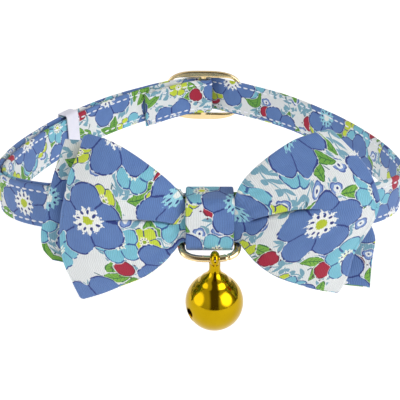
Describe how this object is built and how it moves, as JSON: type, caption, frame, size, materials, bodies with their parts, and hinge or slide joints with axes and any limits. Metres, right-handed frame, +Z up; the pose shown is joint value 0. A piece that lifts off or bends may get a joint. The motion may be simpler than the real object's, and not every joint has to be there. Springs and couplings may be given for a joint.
{
  "type": "cat collar with bow tie and bell",
  "caption": "Cat collar of printed cotton strap, doubled through an oval slider on one side, with a clasp, a layered bow tie, a wire ring and a round jingle bell.",
  "frame": {"origin": "middle of the neck opening in plan, level with the middle of the strap at the slider", "axes": "+X to the right as the bow is seen from the front, +Y from the bow to the slider at the nape, +Z up towards the head"},
  "size_m": [0.0946, 0.0916, 0.0424],
  "materials": {
    "strap_cloth": "printed woven cotton",
    "bow_cloth": "printed woven cotton",
    "keeper_cloth": "plain ribbon",
    "pale_gold": "polished pale gold plate",
    "bell_gold": "mirror polished bright gold plate",
    "clasp_plastic": "satin plastic"
  },
  "bodies": {
    "collar": {"strap": "strap_cloth", "slider": "pale_gold", "clasp": "clasp_plastic", "keeper": "keeper_cloth", "bow_back": "bow_cloth", "bow_front": "bow_cloth", "centre_band": "bow_cloth", "ring": "pale_gold"},
    "bell": {"bell": "bell_gold"}
  },
  "joints": [
    {"name": "bell_swing", "type": "hinge", "parent": "collar", "child": "bell", "pos_m": [0.0029, -0.04432, -0.00763], "axis": [1, 0, 0], "range_deg": [-45, 45]}
  ]
}
